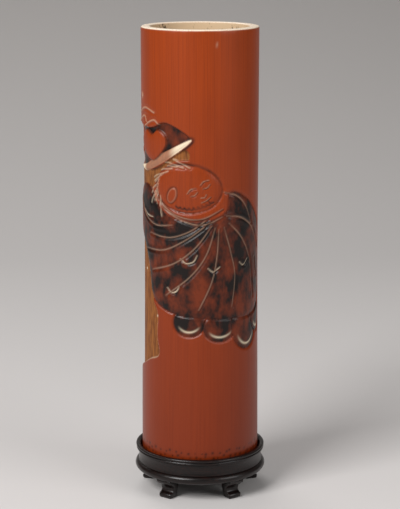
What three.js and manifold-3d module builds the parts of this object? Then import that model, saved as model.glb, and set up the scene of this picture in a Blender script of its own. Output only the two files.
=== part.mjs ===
// A lacquer-brown bamboo incense holder that stands in a turned blackwood stand on five cabriole feet.
// Millimetres, +Z up, origin at the centre of the circle of feet on the ground, front towards -Y.
import * as THREE from "three";
import { mergeVertices } from "three/addons/utils/BufferGeometryUtils.js";
import Module from "manifold-3d";

const wasm = await Module();
wasm.setup();

// Driving dimensions of the bamboo tube
const tubeRimRadius = 32;
const tubeDrawnIn = 0.2;
const tubeBaseSwell = 0.5;
const tubeHeelInset = 1.5;
const tubeHeight = 238.7;
const tubeWall = 5.1;
const tubeHeelHeight = 4.2;
const tubeRimRound = 0.8;

// Driving dimensions of the floor that closes the tube
const floorThickness = 3.6;
const floorRebate = 1.2;
const floorInset = 0.4;

// Driving dimensions of the stand
const feetHeight = 10.6;
const flangeHeight = 4.6;
const flangeOverhang = 1.6;
const flangeWidth = 10.5;
const waistHeight = 6.4;
const waistWall = 5.1;
const waistHollow = 0.5;
const waistLip = 1.9;
const boardThickness = 3.2;
const boardLedgeHeight = 1.1;
const galleryHeight = 3.2;
const galleryOverhang = 1.2;
const galleryFlare = 0.9;

// Driving dimensions of a foot
const footCount = 5;
const footWidth = 10.4;
const toeWidthShare = 0.74;
const toeInset = 3.1;
const ankleInset = 6.5;
const kneeInset = 1.9;
const footLength = 9.3;
const tenonDepth = 2.6;
const tenonWidth = 5;
const tenonLength = 3.6;
const tenonInset = 5.5;

// Clearances
const fitClearance = 0.3;
const recessClearance = 0.5;
const seatClearance = 0.3;

// Radii that follow from the sizes above, from the tube outwards
const tubeMiddleRadius = tubeRimRadius - tubeDrawnIn;
const tubeBaseRadius = tubeRimRadius + tubeBaseSwell;
const tubeHeelRadius = tubeBaseRadius - tubeHeelInset;
const waistRadius = tubeBaseRadius + recessClearance + waistLip;
const waistInnerRadius = waistRadius - waistWall;
const galleryRadius = waistRadius + galleryOverhang;
const flangeRadius = waistRadius + flangeOverhang;
const flangeInnerRadius = flangeRadius - flangeWidth;
const toeRadius = flangeRadius - toeInset;
const ankleRadius = flangeRadius - ankleInset;
const kneeRadius = flangeRadius - kneeInset;
const footBackRadius = flangeRadius - footLength;
const tenonRadius = flangeRadius - tenonInset;

// Heights that follow from the sizes above
const flangeTop = feetHeight + flangeHeight;
const waistTop = flangeTop + waistHeight;
const galleryTop = waistTop + galleryHeight;
const boardBottom = flangeTop + boardLedgeHeight;
const boardTop = boardBottom + boardThickness;
const boardRadius = waistRadius - waistLip - fitClearance;
const tubeBottom = boardTop + seatClearance;
const tubeTop = tubeBottom + tubeHeight;
const boreRadius = tubeRimRadius - tubeWall;
const floorTop = tubeBottom + floorInset + floorThickness;
const turnSegments = 64;

const finishes = {
  bamboo: { color: 0x8f3c1c, roughness: 0.35, metalness: 0 },
  bambooFloor: { color: 0x6f4a2c, roughness: 0.7, metalness: 0 },
  blackwood: { color: 0x1c1614, roughness: 0.3, metalness: 0 },
};

const group = new THREE.Group();
group.name = "incense_holder";

// Adds one named piece in its finish
function addPiece(name, geometry, finish) {
  const mesh = new THREE.Mesh(geometry, new THREE.MeshStandardMaterial(finish));
  mesh.name = name;
  group.add(mesh);
  return mesh;
}

// Turns a closed [radius, height] outline, given anticlockwise, about the Z axis
function turned(outline) {
  const points = outline.map(([radius, height]) => new THREE.Vector2(radius, height));
  const closesOnAxis = outline[0][0] === 0;
  if (!closesOnAxis) points.push(points[0].clone());
  const geometry = new THREE.LatheGeometry(points, turnSegments);
  geometry.rotateX(Math.PI / 2);
  return merged(geometry);
}

// Keeps only positions, with shared corners merged, so that a geometry is one closed body
function merged(geometry) {
  const copy = geometry.clone();
  copy.deleteAttribute("normal");
  copy.deleteAttribute("uv");
  const whole = mergeVertices(copy, 1e-4);
  const index = whole.index.array;
  const kept = [];
  for (let i = 0; i < index.length; i += 3) {
    const [a, b, c] = [index[i], index[i + 1], index[i + 2]];
    if (a !== b && b !== c && c !== a) kept.push(a, b, c);
  }
  whole.setIndex(kept);
  return whole;
}

// Points of an arc from one angle to another, in degrees, about [centreRadius, centreHeight]
function arc(centreRadius, centreHeight, radius, fromAngle, toAngle, steps) {
  const points = [];
  for (let i = 0; i <= steps; i += 1) {
    const angle = THREE.MathUtils.degToRad(THREE.MathUtils.lerp(fromAngle, toAngle, i / steps));
    points.push([centreRadius + radius * Math.cos(angle), centreHeight + radius * Math.sin(angle)]);
  }
  return points;
}

// Makes a manifold solid of a geometry
function toSolid(geometry) {
  const whole = merged(geometry);
  const vertProperties = Float32Array.from(whole.attributes.position.array);
  const triVerts = Uint32Array.from(whole.index.array);
  return new wasm.Manifold(new wasm.Mesh({ numProp: 3, vertProperties, triVerts }));
}

// Makes a geometry of a manifold solid
function toGeometry(solid) {
  const mesh = solid.getMesh();
  const geometry = new THREE.BufferGeometry();
  geometry.setAttribute("position", new THREE.BufferAttribute(Float32Array.from(mesh.vertProperties), 3));
  geometry.setIndex(Array.from(mesh.triVerts));
  return geometry;
}

// The culm: a slightly waisted tube with a rounded heel and a rebate under its bore for the floor
function bambooTube() {
  const heelTop = tubeBottom + tubeHeelHeight;
  const middle = tubeBottom + tubeHeight / 2;
  const outer = new THREE.CatmullRomCurve3([
    new THREE.Vector3(tubeBaseRadius, heelTop, 0),
    new THREE.Vector3(tubeBaseRadius - 0.4, tubeBottom + tubeHeight * 0.25, 0),
    new THREE.Vector3(tubeMiddleRadius, middle, 0),
    new THREE.Vector3(tubeMiddleRadius - 0.1, tubeBottom + tubeHeight * 0.8, 0),
    new THREE.Vector3(tubeRimRadius, tubeTop - tubeRimRound, 0),
  ]);
  const rebateRadius = boreRadius + floorRebate;
  const outline = [[rebateRadius, tubeBottom], [tubeHeelRadius, tubeBottom]];
  const heelSteps = 4;
  for (let i = 1; i < heelSteps; i += 1) {
    const turn = (Math.PI / 2) * (i / heelSteps);
    const radius = tubeHeelRadius + (tubeBaseRadius - tubeHeelRadius) * Math.sin(turn);
    outline.push([radius, heelTop - tubeHeelHeight * Math.cos(turn)]);
  }
  for (const point of outer.getPoints(12)) outline.push([point.x, point.y]);
  outline.push([tubeRimRadius - tubeRimRound, tubeTop]);
  outline.push([boreRadius + tubeRimRound / 2, tubeTop]);
  outline.push([boreRadius, tubeTop - tubeRimRound]);
  outline.push([boreRadius, floorTop]);
  outline.push([rebateRadius, floorTop]);
  return turned(outline);
}

// The disc let into the rebate from below, which the sticks stand on
function tubeFloor() {
  const radius = boreRadius + floorRebate - fitClearance;
  const bottom = tubeBottom + floorInset;
  return turned([[0, bottom], [radius, bottom], [radius, floorTop], [0, floorTop]]);
}

// The turned ring round the foot of the tube, with a double bead outside and a flared mouth
function galleryRim() {
  const bead = galleryHeight / 4;
  const outerCentre = galleryRadius - bead;
  const innerBottom = waistRadius - waistLip;
  return turned([
    [innerBottom, waistTop],
    ...arc(outerCentre - 0.2, waistTop + bead, bead, -90, 80, 6),
    ...arc(outerCentre, galleryTop - bead, bead, -80, 90, 6),
    [innerBottom + galleryFlare, galleryTop],
  ]);
}

// The round board that the tube stands on, lying on the ledge inside the waist
function seatBoard() {
  return turned([[0, boardBottom], [boardRadius, boardBottom], [boardRadius, boardTop], [0, boardTop]]);
}

// The waist between the two mouldings, faintly hollow outside, with a ledge inside for the seat board
function waistBand() {
  const innerTop = waistRadius - waistLip;
  const middle = (flangeTop + waistTop) / 2;
  return turned([
    [waistInnerRadius, flangeTop],
    [waistRadius, flangeTop],
    [waistRadius - waistHollow * 0.75, (flangeTop + middle) / 2],
    [waistRadius - waistHollow, middle],
    [waistRadius - waistHollow * 0.75, (waistTop + middle) / 2],
    [waistRadius, waistTop],
    [innerTop, waistTop],
    [innerTop, boardBottom],
    [waistInnerRadius, boardBottom],
  ]);
}

// Turns a geometry made in the plane through the axis to one foot's place round the stand
function atFoot(geometry, index) {
  const angle = -Math.PI / 2 + ((index + 0.5) * 2 * Math.PI) / footCount;
  return geometry.rotateZ(angle);
}

// A block for a tenon or its mortise, along +X, rising from just above or below the flange's underside
function tenonBlock(clearance, reach) {
  const length = tenonLength + 2 * clearance;
  const width = tenonWidth + 2 * clearance;
  const height = tenonDepth + clearance + reach;
  const block = new THREE.BoxGeometry(length, width, height);
  return block.translate(tenonRadius, 0, feetHeight - reach + height / 2);
}

// The lower moulding, a ring with a rounded edge and a mortise for each foot
function footFlange() {
  const half = flangeHeight / 2;
  const ring = turned([
    [flangeInnerRadius, feetHeight],
    ...arc(flangeRadius - half, feetHeight + half, half, -90, 90, 10),
    [flangeInnerRadius, flangeTop],
  ]);
  let solid = toSolid(ring);
  for (let i = 0; i < footCount; i += 1) solid = solid.subtract(toSolid(atFoot(tenonBlock(fitClearance, 1), i)));
  return toGeometry(solid);
}

// One cabriole foot: knee, drawn-in ankle and curled toe, with a tenon for the flange
function foot(index) {
  const shape = new THREE.Shape();
  const top = feetHeight;
  shape.moveTo(footBackRadius, 0);
  shape.lineTo(toeRadius - 1.4, 0);
  shape.bezierCurveTo(toeRadius + 0.2, 0, toeRadius + 0.4, 2.6, toeRadius - 1.2, 3);
  shape.bezierCurveTo(ankleRadius + 0.8, 3.2, ankleRadius, 4.4, ankleRadius + 0.6, 6);
  shape.bezierCurveTo(ankleRadius + 1.4, top * 0.75, kneeRadius, top * 0.72, kneeRadius, top);
  shape.lineTo(footBackRadius - 1, top);
  shape.bezierCurveTo(footBackRadius - 1, top * 0.66, footBackRadius - 0.2, top * 0.38, footBackRadius, 0);
  const blank = new THREE.ExtrudeGeometry(shape, {
    depth: footWidth - 2,
    steps: 1,
    curveSegments: 6,
    bevelEnabled: true,
    bevelThickness: 1,
    bevelSize: 0.8,
    bevelOffset: -0.8,
    bevelSegments: 2,
  });
  blank.translate(0, 0, 1 - footWidth / 2);
  blank.rotateX(Math.PI / 2);
  const place = blank.attributes.position;
  for (let i = 0; i < place.count; i += 1) {
    const share = THREE.MathUtils.lerp(toeWidthShare, 1, Math.min(1, place.getZ(i) / top));
    place.setY(i, place.getY(i) * share);
  }
  const whole = toSolid(blank).add(toSolid(tenonBlock(0, 1)));
  return atFoot(toGeometry(whole), index);
}

addPiece("bamboo_tube", bambooTube(), finishes.bamboo);
addPiece("tube_floor", tubeFloor(), finishes.bambooFloor);
addPiece("gallery_rim", galleryRim(), finishes.blackwood);
addPiece("seat_board", seatBoard(), finishes.blackwood);
addPiece("waist_band", waistBand(), finishes.blackwood);
addPiece("foot_flange", footFlange(), finishes.blackwood);
for (let i = 0; i < footCount; i += 1) addPiece(`foot_${i + 1}`, foot(i), finishes.blackwood);

export default group;
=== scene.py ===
"""A stained, carved bamboo incense holder in its turned blackwood stand, dressed for a studio picture."""

import logging
import math
from collections.abc import Sequence
from dataclasses import dataclass, field
from enum import Enum

import bmesh
import bpy
import numpy as np
from mathutils import Matrix, Vector


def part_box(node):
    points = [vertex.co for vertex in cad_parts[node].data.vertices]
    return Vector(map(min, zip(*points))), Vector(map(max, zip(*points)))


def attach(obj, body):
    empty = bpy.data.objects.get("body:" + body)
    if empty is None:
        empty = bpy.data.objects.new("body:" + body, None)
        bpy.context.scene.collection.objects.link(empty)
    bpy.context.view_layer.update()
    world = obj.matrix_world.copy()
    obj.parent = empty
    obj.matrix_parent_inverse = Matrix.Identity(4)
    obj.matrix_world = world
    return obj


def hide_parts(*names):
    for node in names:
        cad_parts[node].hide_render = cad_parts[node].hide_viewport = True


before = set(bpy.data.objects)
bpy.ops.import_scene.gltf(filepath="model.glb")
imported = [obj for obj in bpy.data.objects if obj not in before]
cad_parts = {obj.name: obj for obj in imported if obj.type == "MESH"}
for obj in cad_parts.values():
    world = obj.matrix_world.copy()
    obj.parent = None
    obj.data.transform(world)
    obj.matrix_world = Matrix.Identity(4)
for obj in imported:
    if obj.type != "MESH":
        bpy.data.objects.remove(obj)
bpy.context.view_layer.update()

LOG = logging.getLogger("incense_holder")
MM = 0.001
REACH = 6.0
FAR_AWAY = 1e6
OVAL_POINTS = 49
CURVE_STEPS = 8
Point = tuple[float, float]
Place = tuple[float, float, float]
Colour = tuple[float, float, float, float]
Feed = bpy.types.NodeSocket | float | Place | Colour
Paint = bpy.types.NodeSocket | str


class Body(Enum):
    """The two rigid bodies of the holder."""

    STAND = "stand"
    TUBE = "tube"


class Slot(Enum):
    """The record's material slots."""

    BAMBOO = "bamboo"
    BLACKWOOD = "blackwood"


class Tone(Enum):
    """What a vertex of the culm shows, one point attribute each, from 0 to 1."""

    # The stain tone also carries painted shadow along raised forms and round the leaf.
    STAIN = "stain"
    GROUND = "ground"
    # The cut tone also carries painted highlights on the lit lips of engraved lines and in the ear.
    CUT = "cut"
    END_GRAIN = "end_grain"
    INSIDE = "inside"
    ROOTS = "roots"


def linear(hex_colour: str) -> Colour:
    """Turns an sRGB hex colour into linear red, green, blue and alpha.

    Args:
        hex_colour: Six hex digits, such as "8f3c1c".

    Returns:
        The linear colour with alpha 1.
    """
    channels = [int(hex_colour[i : i + 2], 16) / 255 for i in (0, 2, 4)]
    bent = [c / 12.92 if c <= 0.04045 else ((c + 0.055) / 1.055) ** 2.4 for c in channels]
    return (*bent, 1.0)


def add_node(tree: bpy.types.NodeTree, kind: str, inputs: dict[str | int, Feed],
             **settings: str | bool) -> bpy.types.Node:
    """Adds one shader node with its settings, values and links.

    Args:
        tree: The node tree to add to.
        kind: Blender's name of the node type.
        inputs: Input name or number, to a value or to the socket that feeds it.
        **settings: Attributes of the node itself.

    Returns:
        The new node.
    """
    node = tree.nodes.new(kind)
    for name, value in settings.items():
        setattr(node, name, value)
    for name, value in inputs.items():
        if isinstance(value, bpy.types.NodeSocket):
            tree.links.new(value, node.inputs[name])
        else:
            node.inputs[name].default_value = value
    return node


def new_material(name: str) -> tuple[bpy.types.Material, bpy.types.NodeTree, bpy.types.Node]:
    """Makes a material out of shader nodes.

    Args:
        name: The new material's name.

    Returns:
        The material, its node tree and its Principled shader.
    """
    material = bpy.data.materials.new(name)
    material.use_nodes = True
    tree = material.node_tree
    return material, tree, tree.nodes["Principled BSDF"]


def painted(tree: bpy.types.NodeTree, base: Paint,
            *coats: tuple[bpy.types.NodeSocket, Paint]) -> bpy.types.NodeSocket:
    """Lays coats of colour over a base, each as thick as its share.

    Args:
        tree: The node tree to add to.
        base: The base's colour.
        *coats: The share of each coat, from 0 to 1, and its colour.

    Returns:
        The finished colour's socket.
    """
    colour = linear(base) if isinstance(base, str) else base
    for share, paint in coats:
        inputs = {0: share, 6: colour, 7: linear(paint) if isinstance(paint, str) else paint}
        colour = add_node(tree, "ShaderNodeMix", inputs, data_type="RGBA").outputs[2]
    return colour


@dataclass(frozen=True)
class Grain:
    """A noise pattern by its real size, and the part of the noise in which it shows.

    The size is one grain's in X, Y and Z, in millimetres. Detail is the number of octaves of finer noise
    and rough their strength. The pattern begins at low in the noise and is at its top share from high on.
    """

    size: Place
    detail: float
    low: float
    high: float
    top: float = 1.0
    rough: float = 0.6

    def noise(self, tree: bpy.types.NodeTree) -> bpy.types.NodeSocket:
        """Lays out the bare noise.

        Args:
            tree: The node tree to add to.

        Returns:
            The noise's socket.
        """
        place = add_node(tree, "ShaderNodeTexCoord", {}).outputs["Object"]
        scale = tuple(1 / (length * MM) for length in self.size)
        grain = add_node(tree, "ShaderNodeMapping", {"Vector": place, "Scale": scale}).outputs["Vector"]
        inputs = {"Vector": grain, "Scale": 1.0, "Detail": self.detail, "Roughness": self.rough}
        return add_node(tree, "ShaderNodeTexNoise", inputs).outputs["Fac"]

    def share(self, tree: bpy.types.NodeTree,
              noise: bpy.types.NodeSocket | None = None) -> bpy.types.NodeSocket:
        """Works out how much of the pattern shows.

        Args:
            tree: The node tree to add to.
            noise: The pattern's noise, where it is laid out already.

        Returns:
            The share's socket, from 0 to top.
        """
        value = self.noise(tree) if noise is None else noise
        inputs = {"Value": value, "From Min": self.low, "From Max": self.high, "To Max": self.top}
        return add_node(tree, "ShaderNodeMapRange", inputs).outputs["Result"]


@dataclass(frozen=True)
class Gloss:
    """How a waxed surface shines: its roughness, its fine relief and its coat of wax."""

    smooth: float
    dull: float
    bump: float
    bump_mm: float
    ior: float
    specular: float
    coat: float
    coat_roughness: float

    def dress(self, tree: bpy.types.NodeTree, shader: bpy.types.Node, dullness: bpy.types.NodeSocket,
              grain: bpy.types.NodeSocket) -> None:
        """Gives a shader its shine.

        Args:
            tree: The shader's node tree.
            shader: The Principled shader.
            dullness: Where the surface goes from smooth, at 0, to dull, at 1.
            grain: The height of the fine relief.
        """
        inputs = {"Value": dullness, "To Min": self.smooth, "To Max": self.dull}
        rough = add_node(tree, "ShaderNodeMapRange", inputs)
        tree.links.new(rough.outputs["Result"], shader.inputs["Roughness"])
        inputs = {"Height": grain, "Strength": self.bump, "Distance": self.bump_mm * MM}
        relief = add_node(tree, "ShaderNodeBump", inputs)
        tree.links.new(relief.outputs["Normal"], shader.inputs["Normal"])
        shader.inputs["IOR"].default_value = self.ior
        shader.inputs["Specular IOR Level"].default_value = self.specular
        shader.inputs["Coat Weight"].default_value = self.coat
        shader.inputs["Coat Roughness"].default_value = self.coat_roughness


@dataclass(frozen=True)
class StainedBamboo:
    """Moso bamboo, smoked red brown and waxed: straight fibres under a soft, even gloss."""

    skin_top: str = "983a09"
    skin_foot: str = "792b0b"
    fibre_dark: str = "6a2408"
    # The stain colours also paint the shadow along raised forms and round the leaf.
    stain_and_shadow_dark: str = "110806"
    stain_and_shadow_warm: str = "6c2a10"
    ground: str = "8e5626"
    ground_dark: str = "5e2f12"
    # The fresh cut colour also paints the highlights on the lit lips of engraved lines and in the ear.
    fresh_cut_and_highlight: str = "ecdcbe"
    end_grain: str = "f3e2cc"
    end_dots: str = "cfa57c"
    inside_wall: str = "cdb290"
    mould: str = "3a281a"
    fade_top: float = 0.25
    fade_foot: float = 0.02
    root_share: float = 0.85
    # Real fibres and bundles are finer, and these are as coarse as they need to be to show.
    fibres: Grain = Grain((0.6, 0.6, 70.0), 4, 0.42, 0.75, 0.5)
    bundles: Grain = Grain((0.7, 0.7, 0.7), 1, 0.5, 0.65, 0.6)
    patches: Grain = Grain((22, 22, 60), 2, 0.5, 0.8, 0.3)
    mottle: Grain = Grain((9, 9, 14), 3, 0.42, 0.66)
    soil: Grain = Grain((1.4, 1.4, 9), 4, 0.4, 0.68)
    spots: Grain = Grain((2.6, 2.6, 5), 5, 0.58, 0.66)
    gloss: Gloss = Gloss(smooth=0.36, dull=0.7, bump=0.25, bump_mm=0.2, ior=1.5, specular=0.25,
                         coat=0.05, coat_roughness=0.22)

    def build(self) -> bpy.types.Material:
        """Builds the material of the whole culm, whose tones come from its point attributes.

        Returns:
            The new material.
        """
        material, tree, shader = new_material("stained_bamboo")
        tones = {}
        for which in Tone:
            node = add_node(tree, "ShaderNodeAttribute", {}, attribute_name=which.value)
            tones[which] = node.outputs["Fac"]
        place = add_node(tree, "ShaderNodeTexCoord", {}).outputs["Object"]
        height = add_node(tree, "ShaderNodeSeparateXYZ", {"Vector": place}).outputs["Z"]
        inputs = {"Value": height, "From Min": self.fade_top, "From Max": self.fade_foot}
        low = add_node(tree, "ShaderNodeMapRange", inputs).outputs["Result"]
        inputs = {0: tones[Tone.ROOTS], 1: self.root_share}
        roots = add_node(tree, "ShaderNodeMath", inputs, operation="MULTIPLY").outputs[0]
        fibres = self.fibres.noise(tree)
        colour = painted(
            tree, self.skin_top,
            (low, self.skin_foot),
            (self.fibres.share(tree, fibres), self.fibre_dark),
            (self.patches.share(tree), self.fibre_dark),
            (roots, self.stain_and_shadow_dark),
            # Stain coat, which also lays the painted shadow.
            (tones[Tone.STAIN], painted(tree, self.stain_and_shadow_dark, (self.mottle.share(tree), self.stain_and_shadow_warm))),
            (tones[Tone.GROUND], painted(tree, self.ground, (self.soil.share(tree), self.ground_dark))),
            # Fresh cut coat, which also lays the painted highlights.
            (tones[Tone.CUT], self.fresh_cut_and_highlight),
            (tones[Tone.INSIDE], painted(tree, self.inside_wall, (self.spots.share(tree), self.mould))),
            (tones[Tone.END_GRAIN], painted(tree, self.end_grain, (self.bundles.share(tree), self.end_dots))))
        tree.links.new(colour, shader.inputs["Base Color"])
        dry = tones[Tone.GROUND]
        for which in (Tone.CUT, Tone.INSIDE):
            inputs = {0: dry, 1: tones[which]}
            dry = add_node(tree, "ShaderNodeMath", inputs, operation="ADD", use_clamp=True).outputs[0]
        self.gloss.dress(tree, shader, dry, fibres)
        return material


@dataclass(frozen=True)
class PolishedBlackwood:
    """Chinese blackwood, turned and waxed: near black, a red brown where the grain shows."""

    dark: str = "0b0706"
    grain: str = "2c120c"
    # Real pores are finer, and these are as coarse as they need to be to show.
    pores: Grain = Grain((14.0, 0.5, 0.5), 3, 0.45, 0.75, 0.7, rough=0.5)
    gloss: Gloss = Gloss(smooth=0.22, dull=0.4, bump=0.15, bump_mm=0.1, ior=1.53, specular=0.3,
                         coat=0.06, coat_roughness=0.12)

    def build(self) -> bpy.types.Material:
        """Builds the material of all the stand's pieces.

        Returns:
            The new material.
        """
        material, tree, shader = new_material("polished_blackwood")
        pores = self.pores.noise(tree)
        colour = painted(tree, self.dark, (self.pores.share(tree, pores), self.grain))
        tree.links.new(colour, shader.inputs["Base Color"])
        self.gloss.dress(tree, shader, pores, pores)
        return material


@dataclass(frozen=True)
class BareBamboo:
    """Bare bamboo inside the culm: dull, brown with age, and speckled."""

    pale: str = "8a6642"
    dark: str = "4b3320"
    speckles: Grain = Grain((1.2, 1.2, 1.2), 4, 0.4, 0.65)
    roughness: float = 0.75

    def build(self) -> bpy.types.Material:
        """Builds the material of the floor of the tube.

        Returns:
            The new material.
        """
        material, tree, shader = new_material("bare_bamboo")
        colour = painted(tree, self.pale, (self.speckles.share(tree), self.dark))
        tree.links.new(colour, shader.inputs["Base Color"])
        shader.inputs["Roughness"].default_value = self.roughness
        return material


def finish_piece(shape: bmesh.types.BMesh, name: str, material: bpy.types.Material) -> bpy.types.Object:
    """Makes a smooth-shaded object of a shape, its faces outwards, and frees the shape.

    Args:
        shape: The shape, in metres, where it stands.
        name: The new piece's name.
        material: Its finish.

    Returns:
        The new object, at the origin.
    """
    bmesh.ops.remove_doubles(shape, verts=shape.verts, dist=1e-6)
    bmesh.ops.recalc_face_normals(shape, faces=shape.faces)
    mesh = bpy.data.meshes.new(name)
    shape.to_mesh(mesh)
    shape.free()
    mesh.materials.append(material)
    mesh.shade_smooth()
    piece = bpy.data.objects.new(name, mesh)
    bpy.context.scene.collection.objects.link(piece)
    return piece


def outline_chain(shape: bmesh.types.BMesh, outline: Sequence[Point],
                  angle: float) -> list[bmesh.types.BMVert | bmesh.types.BMEdge]:
    """Lays a closed outline of radius and height in the plane at an angle round the axis.

    Args:
        shape: The shape that takes the chain.
        outline: Pairs of radius and height in millimetres.
        angle: Radians round the axis, 0 at the front, positive to the right.

    Returns:
        The new vertices and edges.
    """
    ring = [shape.verts.new((r * MM * math.sin(angle), -r * MM * math.cos(angle), z * MM))
            for r, z in outline]
    edges = [shape.edges.new(pair) for pair in zip(ring, [*ring[1:], ring[0]])]
    return [*ring, *edges]


def arc(centre: Point, radius: float, start: float, end: float, steps: int = 10) -> list[Point]:
    """Draws an arc of an outline.

    Args:
        centre: The arc's centre.
        radius: Its radius.
        start: The angle that it starts at, in degrees, 0 outwards and 90 upwards.
        end: The angle that it ends at.
        steps: Straight stretches in the arc.

    Returns:
        The arc's points, both ends included.
    """
    turns = np.radians(np.linspace(start, end, steps + 1))
    return [(centre[0] + radius * math.cos(t), centre[1] + radius * math.sin(t)) for t in turns]


def bezier(points: Sequence[Point]) -> list[Point]:
    """Draws a cubic Bezier curve.

    Args:
        points: Its two ends, with the two points that bend it between them.

    Returns:
        The curve's points after the first.
    """
    p = np.array(points)
    curve = []
    for t in np.linspace(0, 1, CURVE_STEPS + 1)[1:]:
        weights = ((1 - t) ** 3, 3 * t * (1 - t) ** 2, 3 * t * t * (1 - t), t**3)
        curve.append(tuple(sum(w * q for w, q in zip(weights, p))))
    return curve


def node_box(node: str) -> tuple[float, float, float]:
    """Returns a round node's radius, bottom and top in millimetres."""
    low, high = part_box(node)
    return high[0] / MM, low[2] / MM, high[2] / MM


@dataclass
class Stand:
    """The turned stand: a beaded rim, a waist, a rounded lower moulding and five cabriole feet."""

    wood: bpy.types.Material
    turning_steps: int = 160
    wall: float = 1.9
    mouth_flare: float = 0.9
    bead_step: float = 0.2
    flange_inner: float = 26.0
    waist_inner: float = 29.8
    waist_hollow: float = 0.5
    waist_points: int = 13
    ledge: float = 1.1
    foot_width: float = 10.4
    toe_radius: float = 33.4
    ankle_radius: float = 30.0
    knee_radius: float = 34.6
    back_radius: float = 27.2
    toe_share: float = 0.74
    foot_round: float = 0.9
    feet: int = 5

    def turned(self, name: str, node: str, outline: Sequence[Point]) -> None:
        """Turns a closed outline into a piece that stands for a node.

        Args:
            name: The new piece's name.
            node: The node that it stands for.
            outline: Pairs of radius and height in millimetres.
        """
        shape = bmesh.new()
        chain = outline_chain(shape, outline, 0.0)
        bmesh.ops.spin(shape, geom=chain, cent=(0, 0, 0), axis=(0, 0, 1), angle=2 * math.pi,
                       steps=self.turning_steps, use_merge=True)
        self.place(finish_piece(shape, name, self.wood), node)

    def place(self, piece: bpy.types.Object, node: str) -> None:
        """Hands a piece to the frame: it rides on the stand and stands for a node.

        Args:
            piece: The finished piece.
            node: The node that it stands for.
        """
        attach(piece, Body.STAND.value)
        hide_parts(node)
        LOG.info("%s stands for %s", piece.name, node)

    def rim(self) -> None:
        """Turns the rim, with two beads outside and a flared mouth."""
        radius, bottom, top = node_box("gallery_rim")
        waist_radius = node_box("waist_band")[0]
        inner = waist_radius - self.wall
        bead = (top - bottom) / 4
        outline = [(inner, bottom)]
        outline += arc((radius - bead - self.bead_step, bottom + bead), bead, -90, 75)
        outline += arc((radius - bead, top - bead), bead, -75, 90)
        outline += [(inner + self.mouth_flare, top), (inner + self.mouth_flare * 0.4, (top + bottom) / 2)]
        self.turned("beaded_rim", "gallery_rim", outline)

    def waist(self) -> None:
        """Turns the waist, faintly hollow outside, with the seat board's ledge inside."""
        radius, bottom, top = node_box("waist_band")
        middle = (bottom + top) / 2
        hollow = [(radius - self.waist_hollow * math.sin(math.pi * t), bottom + (top - bottom) * t)
                  for t in np.linspace(0, 1, self.waist_points)]
        outline = [(self.waist_inner, bottom), *hollow, (radius - self.wall, top)]
        outline += [(radius - self.wall, middle), (radius - self.wall, bottom + self.ledge)]
        outline += [(self.waist_inner, bottom + self.ledge)]
        self.turned("hollow_waist", "waist_band", outline)

    def moulding(self) -> None:
        """Turns the lower moulding with its rounded edge."""
        radius, bottom, top = node_box("foot_flange")
        half = (top - bottom) / 2
        outline = [(self.flange_inner, bottom), *arc((radius - half, bottom + half), half, -90, 90, 16)]
        outline += [(self.flange_inner, top)]
        self.turned("lower_moulding", "foot_flange", outline)

    def foot_outline(self) -> list[Point]:
        """Draws a foot from the side: knee, drawn-in ankle and curled toe.

        Returns:
            Pairs of radius and height in millimetres, round the foot.
        """
        top = node_box("foot_flange")[1]
        toe, ankle, knee, back = self.toe_radius, self.ankle_radius, self.knee_radius, self.back_radius
        outline = [(back, 0.0), (toe - 1.4, 0.0)]
        outline += bezier([outline[-1], (toe + 0.2, 0), (toe + 0.4, 2.6), (toe - 1.2, 3)])
        outline += bezier([outline[-1], (ankle + 0.8, 3.2), (ankle, 4.4), (ankle + 0.6, 6)])
        outline += bezier([outline[-1], (ankle + 1.4, 8), (knee, 7.6), (knee, top)])
        outline += [(back - 1, top)]
        outline += bezier([outline[-1], (back - 1, 7), (back - 0.2, 4), (back, 0)])[:-1]
        return outline

    def foot(self, index: int) -> None:
        """Carves one foot and turns it to its place.

        Args:
            index: The foot's number from 0, counted from the front to the right.
        """
        outline = self.foot_outline()
        top = max(z for _, z in outline)
        shape = bmesh.new()
        half = self.foot_width / 2 * MM
        side = shape.faces.new([shape.verts.new((r * MM, -half, z * MM)) for r, z in outline])
        swept = bmesh.ops.extrude_face_region(shape, geom=[side])
        bmesh.ops.translate(shape, verts=[v for v in swept["geom"] if isinstance(v, bmesh.types.BMVert)],
                            vec=(0, 2 * half, 0))
        bmesh.ops.recalc_face_normals(shape, faces=shape.faces)
        rims = [e for e in shape.edges if abs(e.verts[0].co.y - e.verts[1].co.y) < half * 0.1]
        bmesh.ops.bevel(shape, geom=rims, offset=self.foot_round * MM, affect="EDGES", segments=3,
                        profile=0.5, material=-1)
        for vert in shape.verts:
            share = min(1.0, vert.co.z / (top * MM))
            vert.co.y *= self.toe_share + (1 - self.toe_share) * share
        angle = -math.pi / 2 + (index + 0.5) * 2 * math.pi / self.feet
        bmesh.ops.rotate(shape, verts=shape.verts, cent=(0, 0, 0), matrix=Matrix.Rotation(angle, 3, "Z"))
        self.place(finish_piece(shape, f"cabriole_foot_{index + 1}", self.wood), f"foot_{index + 1}")

    def build(self) -> None:
        """Builds every piece of the stand."""
        self.rim()
        self.waist()
        self.moulding()
        for index in range(self.feet):
            self.foot(index)
        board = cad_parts["seat_board"]
        board.data.materials.clear()
        board.data.materials.append(self.wood)


def smooth_curve(points: Sequence[Point], closed: bool = False) -> np.ndarray:
    """Runs a smooth curve through a few points.

    Args:
        points: The points, in millimetres.
        closed: Whether the curve returns to its first point.

    Returns:
        The curve's points, one row each.
    """
    p = np.array(points, dtype=float)
    count = len(p)
    rows = []
    for i in range(count if closed else count - 1):
        picks = [(i + k) % count if closed else min(max(i + k, 0), count - 1) for k in (-1, 0, 1, 2)]
        a, b, c, d = p[picks]
        for t in np.linspace(0, 1, CURVE_STEPS, endpoint=False):
            rows.append(0.5 * (2 * b + (c - a) * t + (2 * a - 5 * b + 4 * c - d) * t**2
                               + (3 * b - a - 3 * c + d) * t**3))
    rows.append(p[0] if closed else p[-1])
    return np.array(rows)


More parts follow.
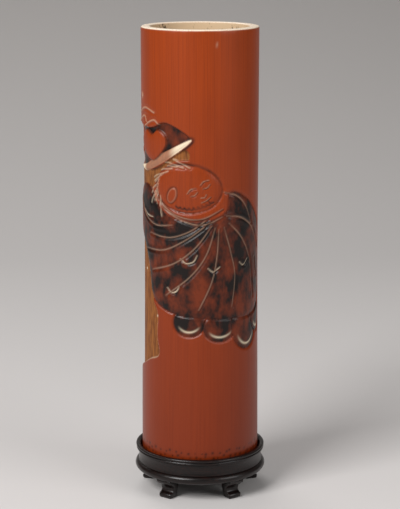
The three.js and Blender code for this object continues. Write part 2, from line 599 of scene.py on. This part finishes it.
def curve_distance(places: np.ndarray, curve: np.ndarray) -> np.ndarray:
    """Measures how far places lie from a curve of straight stretches.

    Args:
        places: Rows of arc and height.
        curve: The curve's points, one row each.

    Returns:
        Each place's distance, or a very large one where it is more than REACH outside the curve's box.
    """
    best = np.full(len(places), FAR_AWAY)
    near = ((places > curve.min(axis=0) - REACH) & (places < curve.max(axis=0) + REACH)).all(axis=1)
    spots = places[near]
    least = np.full(len(spots), FAR_AWAY)
    for a, b in zip(curve, curve[1:]):
        run = b - a
        x, y = spots[:, 0] - a[0], spots[:, 1] - a[1]
        share = np.clip((x * run[0] + y * run[1]) / max(run @ run, 1e-12), 0, 1)
        least = np.minimum(least, (x - share * run[0]) ** 2 + (y - share * run[1]) ** 2)
    best[near] = np.sqrt(least)
    return best


def depth_inside(places: np.ndarray, curve: np.ndarray) -> np.ndarray:
    """Measures how deep places lie inside a closed curve.

    Args:
        places: Rows of arc and height.
        curve: The curve's points, one row each, the last the same as the first.

    Returns:
        Each place's distance to the curve, positive inside it and negative outside.
    """
    inside = np.zeros(len(places), dtype=bool)
    x, y = places[:, 0], places[:, 1]
    for (ax, ay), (bx, by) in zip(curve, curve[1:]):
        if ay != by:
            inside ^= ((ay > y) != (by > y)) & (x < (bx - ax) * (y - ay) / (by - ay) + ax)
    return np.where(inside, 1, -1) * curve_distance(places, curve)


def eased(value: np.ndarray, low: float, high: float) -> np.ndarray:
    """Eases a value from 0 at low to 1 at high."""
    share = np.clip((value - low) / (high - low), 0, 1)
    return share * share * (3 - 2 * share)


@dataclass(frozen=True)
class Line:
    """The cut of one kind of engraved line, in millimetres, and how pale the painted highlight on its lit lip
    is, from 0 to 1.
    """

    width: float
    depth: float
    pale: float


@dataclass
class Relief:
    """The skin under the knife: where each place is, how far it is cut, and what it shows.

    Places are rows of arc and height in millimetres, and a rise below 0 is cut into the skin.
    """

    places: np.ndarray
    rise: np.ndarray
    tones: dict[Tone, np.ndarray]

    @classmethod
    def plain(cls, places: np.ndarray) -> "Relief":
        """Returns the uncut skin at some places."""
        return cls(places, np.zeros(len(places)), {which: np.zeros(len(places)) for which in Tone})

    def inside(self, points: Sequence[Point]) -> np.ndarray:
        """Returns how deep each place lies inside a smooth closed outline through some points."""
        return depth_inside(self.places, smooth_curve(points, True))

    def clear(self, share: np.ndarray, *tones: Tone) -> None:
        """Fades some tones out where a share is 1."""
        for which in tones:
            self.tones[which] *= 1 - share

    def show(self, which: Tone, values: np.ndarray) -> None:
        """Brings a tone up to some values where they are higher."""
        self.tones[which][:] = np.maximum(self.tones[which], values)


def bell(distance: np.ndarray, width: float) -> np.ndarray:
    """Returns a smooth bump, 1 at no distance, that fades over a width."""
    return np.exp(-((distance / width) ** 2))


def oval(centre: Point, reach: Point, lean: float) -> np.ndarray:
    """Draws a closed oval.

    Args:
        centre: Its centre.
        reach: Half its length and half its height before it leans.
        lean: How far it leans, in radians.

    Returns:
        The oval's points, one row each.
    """
    turns = np.linspace(0, 2 * math.pi, OVAL_POINTS)
    flat = np.stack([reach[0] * np.cos(turns), reach[1] * np.sin(turns)], 1)
    turn = np.array([[math.cos(lean), math.sin(lean)], [-math.sin(lean), math.cos(lean)]])
    return flat @ turn + np.array(centre)


@dataclass
class Carving:
    """The carved picture, a robed monk beside a fruit, in millimetres of arc and height.

    Arc 0 is the front of the culm and grows to the right, and height is above the ground.
    """

    ground_depth: float = 1.3
    hollow_extra: float = 0.5
    leaf_depth: float = 0.9
    leaf_bevel: float = 1.2
    edge: float = 0.5
    hollow_edge: Point = (-0.3, 0.4)
    form_edge: Point = (-0.2, 0.3)
    form_drop: float = 0.7
    form_round: float = 1.5
    groove_depth: float = 0.9
    groove_width: float = 0.8
    # Painted shadow along each raised form's outline: its darkness and its width.
    shadow: float = 0.8
    shadow_width: float = 0.55
    # Each line's pale is how bright the painted highlight on its lit lip is.
    fold: Line = Line(width=0.75, depth=0.55, pale=0.25)
    hook: Line = Line(width=0.7, depth=0.5, pale=0.9)
    feature: Line = Line(width=0.5, depth=0.45, pale=0.45)
    # Where the painted highlight lies beside each line, towards the lamp, in widths of the line.
    lit_side: Point = (-0.9, 0.7)
    line_taper: float = 6.0
    head_centre: Point = (-7.5, 174.5)
    head_reach: Point = (20.0, 13.0)
    head_lean: float = math.radians(-4)
    head_fall: float = 0.5
    head_fall_width: float = 4.0
    ear_centre: Point = (-16, 170.5)
    ear_reach: Point = (3.0, 4.8)
    ear_lean: float = math.radians(-25)
    face_centre: Point = (0.5, 173.5)
    face_lean: float = math.radians(32)
    face_height: float = 20.0
    face_width_share: float = 0.36
    lock_angles: tuple[int, int, int] = (84, 206, 11)
    beard_angles: tuple[int, int, int] = (248, 322, 9)
    beard_place: float = 0.8
    ruffle_lean: float = math.radians(8)
    crescent_inset: float = 2.6
    crescent_width: float = 0.55
    chip_radius: float = 0.6
    chip_depth: float = 0.35
    strip_fade: Point = (95, 110)
    robe: list[Point] = field(default_factory=lambda: [
        (-46, 169), (-47, 150), (-39, 140), (-34, 128), (-31.5, 116), (-25, 109.5), (-13, 105.5),
        (2, 104), (18, 103), (34, 103), (44, 108), (48, 120), (48, 138), (45, 151), (38, 160), (29, 168),
        (18, 172), (16, 163), (10, 158.5), (-4, 156.5), (-18, 159), (-27, 166), (-31, 173), (-39, 175)])
    upper_ground: list[Point] = field(default_factory=lambda: [
        (-58, 189), (-40, 183.5), (-27, 184), (-9, 195), (-6, 190), (-14, 189), (-25, 182), (-31, 172),
        (-40, 166), (-58, 168)])
    lower_ground: list[Point] = field(default_factory=lambda: [
        (-58, 168), (-47, 164), (-46, 148), (-36, 138), (-31, 122), (-30, 112), (-26, 104), (-26.5, 92),
        (-25, 81.5), (-33, 77.5), (-45, 72), (-58, 70)])
    hollow: list[Point] = field(default_factory=lambda: [
        (-56, 207), (-40, 205.5), (-30, 206), (-19, 209), (-5, 200.8), (-16, 194), (-30, 186.5),
        (-42, 184), (-56, 187)])
    fruit: list[Point] = field(default_factory=lambda: [
        (-31, 202.5), (-26, 205), (-20.5, 202), (-20.5, 195.5), (-30, 188), (-41, 193), (-43, 200),
        (-37, 204.5)])
    leaf: list[Point] = field(default_factory=lambda: [
        (-46, 184), (-38, 185.5), (-22, 193), (-5, 200.8), (-10, 195.5), (-24, 186.5), (-38, 181.5)])
    folds: list[list[Point]] = field(default_factory=lambda: [
        [(5, 158), (-5, 151), (-17, 147), (-31, 148)],
        [(6, 156), (-6, 147), (-20, 140), (-35, 139)],
        [(7, 154), (-2, 142), (-14, 133), (-29, 128)],
        [(9, 153), (4, 138), (-5, 126), (-19, 115)],
        [(11, 152), (10, 137), (7, 123), (0, 108)],
        [(14, 153), (18, 140), (21, 126), (19, 109)],
        [(17, 155), (26, 146), (33, 133), (36, 112)],
        [(16, 159), (26, 157), (36, 150), (43, 139)],
        [(14, 172), (23, 169), (30, 162), (34, 153)],
        [(-26, 168), (-14, 160), (0, 157.5), (13, 163)],
        [(-22, 163.5), (-10, 157), (2, 154.5), (13, 158.5)],
        [(-43, 166), (-38, 158), (-27, 153), (-15, 154)]])
    hooks: list[list[Point]] = field(default_factory=lambda: [
        [(-10, 136), (-7, 133.6), (-3, 134.6), (-1, 138)],
        [(-18, 119.5), (-15.5, 117), (-12.5, 118), (-11, 121)],
        [(5, 131), (8, 129), (11.5, 131.5)],
        [(24, 133), (27, 131), (30, 134)],
        [(-38, 160), (-34, 157.5), (-29, 157)],
        [(38, 134), (39, 128), (41, 123)]])
    ruffles: list[tuple[Point, Point]] = field(default_factory=lambda: [
        ((-6, 101.5), (9, 8)), ((12, 98.5), (10, 8)), ((29, 96.5), (10, 12)), ((41, 101), (7, 9))])
    curls: list[list[Point]] = field(default_factory=lambda: [
        [(-50, 204), (-45, 209), (-38, 211.5), (-36, 208.5)],
        [(-38, 206), (-33, 208.5), (-28, 210), (-25, 208)],
        [(-46, 213), (-37, 216), (-28, 214)]])
    chips: list[Point] = field(default_factory=lambda: [(-27, 102.7), (-42, 222), (-40, 127), (9, 250)])

    def face_strokes(self) -> list[list[Point]]:
        """Draws a calm, upright face about its own centre.

        Returns:
            Strokes for the lids, the brows, the nose and the mouth.
        """
        tall = self.face_height
        wide = tall * self.face_width_share
        eye, brow, nose, mouth = 0.0, tall * 0.11, -tall * 0.2, -tall * 0.3
        strokes = []
        for side in (-1, 1):
            across = side * wide
            strokes.append([(across * 0.25, eye), (across * 0.55, eye - 0.7), (across * 0.85, eye)])
            strokes.append([(across * 0.2, brow), (across * 0.55, brow + 0.9), (across * 0.95, brow)])
        strokes.append([(-wide * 0.22, nose + 0.4), (0, nose - 0.5), (wide * 0.22, nose + 0.4)])
        strokes.append([(-wide * 0.4, mouth), (0, mouth - 0.4), (wide * 0.4, mouth)])
        return strokes

    def on_face(self, points: Sequence[Point]) -> list[Point]:
        """Turns points of the upright face to its place and lean on the head."""
        c, s = math.cos(self.face_lean), math.sin(self.face_lean)
        return [(self.face_centre[0] + x * c - y * s, self.face_centre[1] + x * s + y * c)
                for x, y in points]

    def on_head(self, turn: float, share: float = 1.0) -> np.ndarray:
        """Returns the point of the head's oval at an angle, at a share of the way out."""
        return (np.array(self.head_centre)
                + share * np.array(self.head_reach) * (math.cos(turn), math.sin(turn)))

    def hair(self) -> list[list[Point]]:
        """Draws the fringe of short locks from the nape over the back of the head.

        Returns:
            One stroke for each lock, whose lift changes from lock to lock.
        """
        locks = []
        for turn in np.radians(np.arange(*self.lock_angles)):
            root = self.on_head(turn)
            out = np.array([math.cos(turn), math.sin(turn)]) * (1 + 0.35 * math.sin(9 * turn))
            along = np.array([-out[1], out[0]])
            locks.append([tuple(root - out * 1.4), tuple(root - out * 0.4 + along * 3.0),
                          tuple(root + out * 0.9 + along * 6.5), tuple(root + out * 1.2 + along * 8.5)])
        return locks

    def beard(self) -> list[list[Point]]:
        """Draws the short curled strokes of the beard along the lower side of the head.

        Returns:
            One stroke for each curl.
        """
        strokes = []
        for turn in np.radians(np.arange(*self.beard_angles)):
            root = self.on_head(turn, self.beard_place)
            strokes.append([tuple(root), tuple(root + (1.2, -1.0)), tuple(root + (2.8, -0.6))])
        return strokes

    def carve(self, places: np.ndarray) -> Relief:
        """Carves the whole picture.

        Args:
            places: Rows of arc and height in millimetres.

        Returns:
            The relief, with the rise and the tones of each place.
        """
        relief = Relief.plain(places)
        self.sink_ground(relief)
        self.sink_hollow(relief)
        self.cut_leaf(relief)
        self.raise_figure(relief)
        self.draw_lines(relief)
        self.comb_hair(relief)
        self.mark_chips(relief)
        return relief

    def sink_ground(self, relief: Relief) -> None:
        """Sinks the ground left of the figure, with a paler edge round its lower strip.

        Args:
            relief: The relief to cut.
        """
        depth = np.maximum(relief.inside(self.upper_ground), relief.inside(self.lower_ground))
        sunk = eased(depth, -self.edge / 2, self.edge / 2)
        relief.rise -= self.ground_depth * sunk
        relief.tones[Tone.GROUND] = sunk
        low, high = self.strip_fade
        strip = eased(-relief.places[:, 1], -high, -low)
        relief.tones[Tone.CUT] = 0.35 * bell(depth, 0.35) * strip

    def sink_hollow(self, relief: Relief) -> None:
        """Sinks the dark hollow behind the fruit.

        Args:
            relief: The relief to cut.
        """
        deep = eased(relief.inside(self.hollow), *self.hollow_edge)
        relief.rise[:] = relief.rise * (1 - deep) - (self.ground_depth + self.hollow_extra) * deep
        relief.tones[Tone.STAIN] = deep
        relief.clear(deep, Tone.GROUND, Tone.CUT)

    def cut_leaf(self, relief: Relief) -> None:
        """Cuts the bevelled leaf under the fruit, pale at both tips, with a painted shadow in a dark band
        round it.

        Args:
            relief: The relief to cut.
        """
        depth = relief.inside(self.leaf)
        blade = eased(depth, *self.form_edge)
        bevel = self.leaf_depth * np.exp(-np.maximum(depth, 0) / self.leaf_bevel)
        relief.rise[:] = relief.rise * (1 - blade) - bevel * blade
        relief.clear(blade, Tone.STAIN)
        tones, arcs = relief.tones, relief.places[:, 0]
        tones[Tone.GROUND] = tones[Tone.GROUND] * (1 - blade) + 0.35 * blade
        tip = np.maximum(eased(arcs, -19, -12), eased(-arcs, 36, 41))
        tones[Tone.CUT] = tones[Tone.CUT] * (1 - blade) + (0.15 + 0.75 * tip) * blade
        # Painted shadow: a dark band just outside the leaf's outline.
        relief.show(Tone.STAIN, 0.9 * bell(depth + 0.9, 0.8) * (depth < 0))

    def raise_figure(self, relief: Relief) -> None:
        """Leaves the fruit, the head, the hems and the robe standing, each over the one before.

        Args:
            relief: The relief to cut.
        """
        self.raise_form(relief, relief.inside(self.fruit), 0.0)
        head = depth_inside(relief.places, oval(self.head_centre, self.head_reach, self.head_lean))
        self.raise_form(relief, head, 0.0)
        fall = self.head_fall * np.exp(-np.maximum(head, 0) / self.head_fall_width)
        relief.rise -= fall * eased(head, *self.form_edge)
        for centre, reach in self.ruffles:
            self.raise_ruffle(relief, centre, reach)
        robe = relief.inside(self.robe)
        self.raise_form(relief, np.where(head > 0, -np.abs(robe), robe), 1.0)

    def raise_ruffle(self, relief: Relief, centre: Point, reach: Point) -> None:
        """Leaves one hem standing, with a pale crescent cut along its lower side.

        Args:
            relief: The relief to cut.
            centre: The hem's centre.
            reach: Half its width and half its height.
        """
        depth = depth_inside(relief.places, oval(centre, reach, self.ruffle_lean))
        self.raise_form(relief, depth, 1.0)
        low = eased(centre[1] - relief.places[:, 1], 0.2 * reach[1], 0.8 * reach[1])
        crescent = bell(depth - self.crescent_inset, self.crescent_width) * low
        relief.rise -= 0.4 * crescent
        relief.show(Tone.CUT, 0.8 * crescent)

    def draw_lines(self, relief: Relief) -> None:
        """Engraves the folds, the hooked folds, the face and the ear.

        Args:
            relief: The relief to cut.
        """
        for points in self.folds:
            self.engrave(relief, points, self.fold)
        for points in self.hooks:
            self.engrave(relief, points, self.hook)
        for points in self.face_strokes():
            self.engrave(relief, self.on_face(points), self.feature)
        ear = depth_inside(relief.places, oval(self.ear_centre, self.ear_reach, self.ear_lean))
        relief.rise -= 0.6 * bell(ear, 0.5)
        # Painted highlight: a pale ring just inside the ear's outline.
        relief.show(Tone.CUT, 0.12 * bell(ear - 0.7, 0.35))
        relief.show(Tone.STAIN, 0.7 * bell(ear, 0.4))

    def comb_hair(self, relief: Relief) -> None:
        """Raises the locks and the curled lines over the fruit, and cuts the beard.

        Args:
            relief: The relief to cut.
        """
        for points in self.hair() + self.curls:
            distance = curve_distance(relief.places, smooth_curve(points))
            relief.rise += 0.35 * bell(distance, 0.45) - 0.3 * bell(distance - 0.9, 0.4)
            relief.show(Tone.CUT, 0.32 * bell(distance, 0.4))
        for points in self.beard():
            distance = curve_distance(relief.places, smooth_curve(points))
            relief.rise -= 0.3 * bell(distance, 0.4)
            relief.show(Tone.STAIN, bell(distance, 0.45))

    def mark_chips(self, relief: Relief) -> None:
        """Marks the small chips in the skin.

        Args:
            relief: The relief to cut.
        """
        for chip in self.chips:
            mark = bell(np.linalg.norm(relief.places - np.array(chip), axis=1), self.chip_radius)
            relief.rise -= self.chip_depth * mark
            relief.show(Tone.CUT, mark)

    def raise_form(self, relief: Relief, depth: np.ndarray, stain: float) -> None:
        """Brings a form back up to the skin, its edges rounded, a groove cut round it and a painted shadow
        along its outline.

        Args:
            relief: The relief to cut.
            depth: How deep each place lies inside the form.
            stain: How dark the form is stained, from 0 to 1.
        """
        form = eased(depth, *self.form_edge)
        pillow = -self.form_drop * np.exp(-np.maximum(depth, 0) / self.form_round)
        groove = -self.groove_depth * bell(np.minimum(depth, 0), self.groove_width) * (depth < 0)
        rise = relief.rise
        rise[:] = rise * (1 - form) + pillow * form + groove * (1 - form) * (rise > -1.0)
        relief.tones[Tone.STAIN][:] = relief.tones[Tone.STAIN] * (1 - form) + stain * form
        # Painted shadow: a dark band along the form's outline, on both sides of it.
        relief.show(Tone.STAIN, self.shadow * bell(depth, self.shadow_width))
        relief.clear(form, Tone.GROUND, Tone.CUT)

    def engrave(self, relief: Relief, points: Sequence[Point], line: Line) -> None:
        """Engraves one tapering line, with a slight ridge beside it and a painted highlight on its lit lip.

        Args:
            relief: The relief to cut.
            points: The points that the line runs through.
            line: The kind of line.
        """
        places, tones, width = relief.places, relief.tones, line.width
        curve = smooth_curve(points)
        distance = curve_distance(places, curve)
        ends = np.minimum(np.linalg.norm(places - curve[0], axis=1),
                          np.linalg.norm(places - curve[-1], axis=1))
        taper = 0.45 + 0.55 * eased(ends, 0, self.line_taper)
        cut = bell(distance, width * taper)
        relief.rise -= line.depth * cut
        relief.rise += 0.3 * line.depth * bell(distance - 2 * width, width)
        relief.show(Tone.STAIN, 0.85 * cut)
        # Painted highlight: pale cut colour on the lit side of the line, with the stain thinned under it.
        lit = curve_distance(places, curve + np.array(self.lit_side) * width)
        lip = bell(lit, 0.42 * width) * taper
        tones[Tone.STAIN][:] = tones[Tone.STAIN] * (1 - 0.5 * lip)
        tones[Tone.CUT][:] = np.maximum(tones[Tone.CUT] * (1 - cut), line.pale * lip)


@dataclass
class Culm:
    """The bamboo culm, its outside fine enough to carry the carving."""

    bamboo: bpy.types.Material
    carving: Carving
    rim_radius: float = 32.0
    middle_radius: float = 31.8
    heel_radius: float = 31.0
    heel_height: float = 4.2
    wall: float = 5.1
    rebate: float = 1.2
    rim_round: float = 0.8
    front_half: float = math.radians(112)
    front_steps: int = 232
    back_steps: int = 34
    carved_from: float = 68.0
    carved_to: float = 220.0
    carved_step: float = 0.52
    carved_reach: float = 60.0
    heel_step: float = 0.7
    plain_from: float = 34.0
    plain_step: float = 3.0
    upper_step: float = 2.2
    end_rings: tuple[float, ...] = (0.35, 0.5, 0.65, 0.8)
    bore_from: float = 6.0
    skin_margin: float = 1.2
    bore_margin: float = 1.5
    end_fade: Point = (0.75, 0.3)
    wear_waves: tuple[Place, ...] = ((0.12, 5, 1), (0.08, 13, 0), (0.06, 37, 2))
    wear_depth: float = 0.2
    wear_height: float = 1.2
    wear_width: float = 1.0
    root_rows: Point = (5.2, 8.4)
    root_reach: float = 98.0
    root_spacing: float = 3.4
    root_scatter: Point = (1.1, 1.0)
    root_sizes: Point = (0.35, 0.8)
    root_depth: float = 0.15
    root_seed: int = 7

    def radius_at(self, share: float) -> float:
        """Works out the outer radius, which draws in a little towards the middle.

        Args:
            share: The height as a share of the culm's height.

        Returns:
            The radius in millimetres.
        """
        base = node_box("bamboo_tube")[0]
        if share < 0.5:
            bend = float(eased(np.array(share), 0.0, 0.5))
            return base + (self.middle_radius - base) * bend
        bend = float(eased(np.array(share), 0.5, 1.0))
        return self.middle_radius + (self.rim_radius - self.middle_radius) * bend

    def outline(self) -> list[Point]:
        """Draws the wall's section, from the rebate round the outside and back down the bore.

        Returns:
            Pairs of radius and height in millimetres.
        """
        base, bottom, top = node_box("bamboo_tube")
        floor_top = node_box("tube_floor")[2]
        bore = self.rim_radius - self.wall
        heel_top = bottom + self.heel_height
        points = [(bore + self.rebate, bottom), (self.heel_radius, bottom)]
        for turn in np.linspace(0, math.pi / 2, 8)[1:-1]:
            radius = self.heel_radius + (base - self.heel_radius) * math.sin(turn)
            points.append((radius, heel_top - self.heel_height * math.cos(turn)))
        rows = [*np.arange(heel_top, self.plain_from, self.heel_step)]
        rows += [*np.arange(self.plain_from, self.carved_from, self.plain_step)]
        rows += [*np.arange(self.carved_from, self.carved_to, self.carved_step)]
        rows += [*np.arange(self.carved_to, top - self.rim_round, self.upper_step)]
        points += [(self.radius_at((z - bottom) / (top - bottom)), float(z)) for z in rows]
        points += arc((self.rim_radius - self.rim_round, top - self.rim_round), self.rim_round, 10, 90, 5)
        points += [(self.rim_radius - self.wall * share, top) for share in self.end_rings]
        points += arc((bore + self.rim_round, top - self.rim_round), self.rim_round, 90, 180, 4)
        points += [(bore, float(z)) for z in np.linspace(top - self.bore_from, floor_top, 9)]
        points += [(bore + self.rebate, floor_top)]
        return points

    def blank(self) -> bmesh.types.BMesh:
        """Turns the section in two runs, fine round the front and coarse round the back.

        Returns:
            The uncarved culm.
        """
        shape = bmesh.new()
        runs = ((-self.front_half, 2 * self.front_half, self.front_steps),
                (self.front_half, 2 * (math.pi - self.front_half), self.back_steps))
        for start, sweep, steps in runs:
            chain = outline_chain(shape, self.outline(), start)
            bmesh.ops.spin(shape, geom=chain, cent=(0, 0, 0), axis=(0, 0, 1), angle=sweep, steps=steps)
        bmesh.ops.remove_doubles(shape, verts=shape.verts, dist=2e-6)
        return shape

    def build(self) -> None:
        """Builds the culm and carves it."""
        piece = finish_piece(self.blank(), "carved_culm", self.bamboo)
        self.carve(piece.data)
        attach(piece, Body.TUBE.value)
        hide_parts("bamboo_tube")
        LOG.info("carved_culm has %d faces", len(piece.data.polygons))

    def carve(self, mesh: bpy.types.Mesh) -> None:
        """Moves the skin in and out by the carving and writes the tones.

        Args:
            mesh: The uncarved culm's mesh.
        """
        count = len(mesh.vertices)
        flat = np.empty(count * 3)
        mesh.vertices.foreach_get("co", flat)
        places = flat.reshape(-1, 3) / MM
        radius = np.hypot(places[:, 0], places[:, 1])
        angle = np.arctan2(places[:, 0], -places[:, 1])
        arcs = np.stack([angle * self.rim_radius, places[:, 2]], 1)
        _, bottom, top = node_box("bamboo_tube")
        outside = (radius > self.rim_radius - self.skin_margin) & (places[:, 2] < top - self.rim_round)
        carved = outside & (arcs[:, 1] > self.carved_from) & (np.abs(arcs[:, 0]) < self.carved_reach)
        skin = Relief.plain(arcs)
        rise, tones = skin.rise, skin.tones
        picture = self.carving.carve(arcs[carved])
        rise[carved] = picture.rise
        for which, values in picture.tones.items():
            tones[which][carved] = np.clip(values, 0, 1)
        self.add_roots(skin, outside, bottom)
        worn = sum(size * np.sin(angle * waves + turn) for size, waves, turn in self.wear_waves)
        near_rim = radius > self.rim_radius - self.wear_width
        rise += (worn - self.wear_depth) * (eased(places[:, 2], top - self.wear_height, top) * near_rim)
        inner = radius < self.rim_radius - self.wall + self.bore_margin
        begins, full = (top - below for below in self.end_fade)
        tones[Tone.INSIDE] = (inner & (places[:, 2] < full)).astype(float)
        tones[Tone.END_GRAIN] = eased(places[:, 2], begins, full) * (1 - tones[Tone.INSIDE])
        scale = 1 + rise / np.maximum(radius, 1)
        places[:, 0] *= scale
        places[:, 1] *= scale
        mesh.vertices.foreach_set("co", (places * MM).ravel())
        for which, values in tones.items():
            layer = mesh.attributes.new(which.value, "FLOAT", "POINT")
            layer.data.foreach_set("value", np.clip(values, 0, 1))
        mesh.update()

    def add_roots(self, skin: Relief, outside: np.ndarray, bottom: float) -> None:
        """Marks the scars of the node's rootlets, two rows of small dark pits above the heel.

        Args:
            skin: The whole culm's relief.
            outside: Which places lie on the outside.
            bottom: The height of the culm's heel, in millimetres.
        """
        draw = np.random.default_rng(self.root_seed)
        across, up = self.root_scatter
        roots = skin.tones[Tone.ROOTS]
        for above in self.root_rows:
            row = bottom + above
            for centre in np.arange(-self.root_reach, self.root_reach, self.root_spacing):
                spot = np.array([centre + draw.uniform(-across, across), row + draw.uniform(-up, up)])
                reach = draw.uniform(*self.root_sizes)
                near = outside & (np.abs(skin.places - spot) < 3 * reach).all(axis=1)
                fade = bell(np.linalg.norm(skin.places[near] - spot, axis=1), reach)
                skin.rise[near] -= self.root_depth * fade
                roots[near] = np.maximum(roots[near], fade)


@dataclass(frozen=True)
class Lamp:
    """One soft square lamp: its place and the length of its sides in metres, and its power in watts."""

    name: str
    place: Place
    size: float
    watts: float


@dataclass
class Studio:
    """The pale sweep, soft lamps and the camera at the picture's place."""

    axis_distance: float = 0.9178
    camera_height: float = 0.3284
    camera_pitch: float = math.radians(12.05)
    lens: float = 119.9
    sensor: float = 36.0
    near_colour: str = "d1cdcb"
    far_colour: str = "7f7b78"
    wall_place: float = 1.5
    sweep_radius: float = 0.9
    sweep_half_width: float = 6.0
    sweep_front: float = -3.0
    wall_height: float = 4.0
    shade_from: float = -0.1
    shade_to: float = 1.85
    sweep_roughness: float = 0.9
    clip_end: float = 20.0
    aim: Place = (0, 0, 0.13)
    lamps: tuple[Lamp, ...] = (
        Lamp("key_lamp", (-1.0, -1.1, 1.3), 0.9, 35),
        Lamp("fill_lamp", (1.3, -0.9, 0.9), 1.0, 10),
        Lamp("back_lamp", (-0.3, 0.9, 1.2), 0.8, 6))
    sky: Colour = (0.9, 0.9, 0.9, 1)
    sky_strength: float = 0.25

    def camera(self) -> None:
        """Sets the camera by its distance, height, pitch and lens."""
        data = bpy.data.cameras.new("camera")
        data.lens = self.lens
        data.sensor_fit = "VERTICAL"
        data.sensor_height = self.sensor
        data.clip_end = self.clip_end
        camera = bpy.data.objects.new("camera", data)
        camera.location = (0, -self.axis_distance, self.camera_height)
        camera.rotation_euler = (math.pi / 2 - self.camera_pitch, 0, 0)
        bpy.context.scene.collection.objects.link(camera)
        bpy.context.scene.camera = camera

    def sweep(self) -> None:
        """Lays the floor, which curves up into the backdrop, and paints shade into it, darker from near to
        far.
        """
        material, tree, shader = new_material("studio_paper")
        place = add_node(tree, "ShaderNodeTexCoord", {}).outputs["Object"]
        parts = add_node(tree, "ShaderNodeSeparateXYZ", {"Vector": place}).outputs
        away = add_node(tree, "ShaderNodeMath", {0: parts["Y"], 1: parts["Z"]}, operation="ADD").outputs[0]
        # Painted shade: the paper's colour darkens from near to far and up the wall.
        inputs = {"Value": away, "From Min": self.shade_from, "From Max": self.shade_to}
        share = add_node(tree, "ShaderNodeMapRange", inputs).outputs["Result"]
        colour = painted(tree, self.near_colour, (share, self.far_colour))
        tree.links.new(colour, shader.inputs["Base Color"])
        shader.inputs["Roughness"].default_value = self.sweep_roughness
        shape = bmesh.new()
        half, front, back_line = self.sweep_half_width, self.sweep_front, self.wall_place
        corners = ((-half, front), (half, front), (half, back_line), (-half, back_line))
        shape.faces.new([shape.verts.new((x, y, 0)) for x, y in corners])
        back = next(e for e in shape.edges if min(v.co.y for v in e.verts) > 0)
        wall = bmesh.ops.extrude_edge_only(shape, edges=[back])
        bmesh.ops.translate(shape, verts=[v for v in wall["geom"] if isinstance(v, bmesh.types.BMVert)],
                            vec=(0, 0, self.wall_height))
        bmesh.ops.bevel(shape, geom=[back], offset=self.sweep_radius, affect="EDGES", segments=24,
                        profile=0.5, material=-1)
        floor = finish_piece(shape, "studio_sweep", material)

    def hang(self, lamp: Lamp) -> None:
        """Hangs one lamp so that it faces the holder.

        Args:
            lamp: The lamp.
        """
        data = bpy.data.lights.new(lamp.name, "AREA")
        data.size = lamp.size
        data.energy = lamp.watts
        light = bpy.data.objects.new(lamp.name, data)
        light.location = lamp.place
        aim = Vector(self.aim) - Vector(lamp.place)
        light.rotation_euler = aim.to_track_quat("-Z", "Y").to_euler()
        bpy.context.scene.collection.objects.link(light)

    def build(self) -> None:
        """Sets up the whole studio."""
        self.camera()
        self.sweep()
        for lamp in self.lamps:
            self.hang(lamp)
        world = bpy.data.worlds.new("studio_light")
        world.use_nodes = True
        sky = world.node_tree.nodes["Background"]
        sky.inputs["Color"].default_value = self.sky
        sky.inputs["Strength"].default_value = self.sky_strength
        bpy.context.scene.world = world
        bpy.context.scene.view_settings.view_transform = "Standard"


def main() -> None:
    """Builds the studio, the stand and the culm in order."""
    logging.basicConfig(level=logging.INFO, format="%(name)s: %(message)s")
    Studio().build()
    Stand(PolishedBlackwood().build()).build()
    Culm(StainedBamboo().build(), Carving()).build()
    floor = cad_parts["tube_floor"]
    floor.data.materials.clear()
    floor.data.materials.append(BareBamboo().build())


if __name__ == "__main__":
    main()
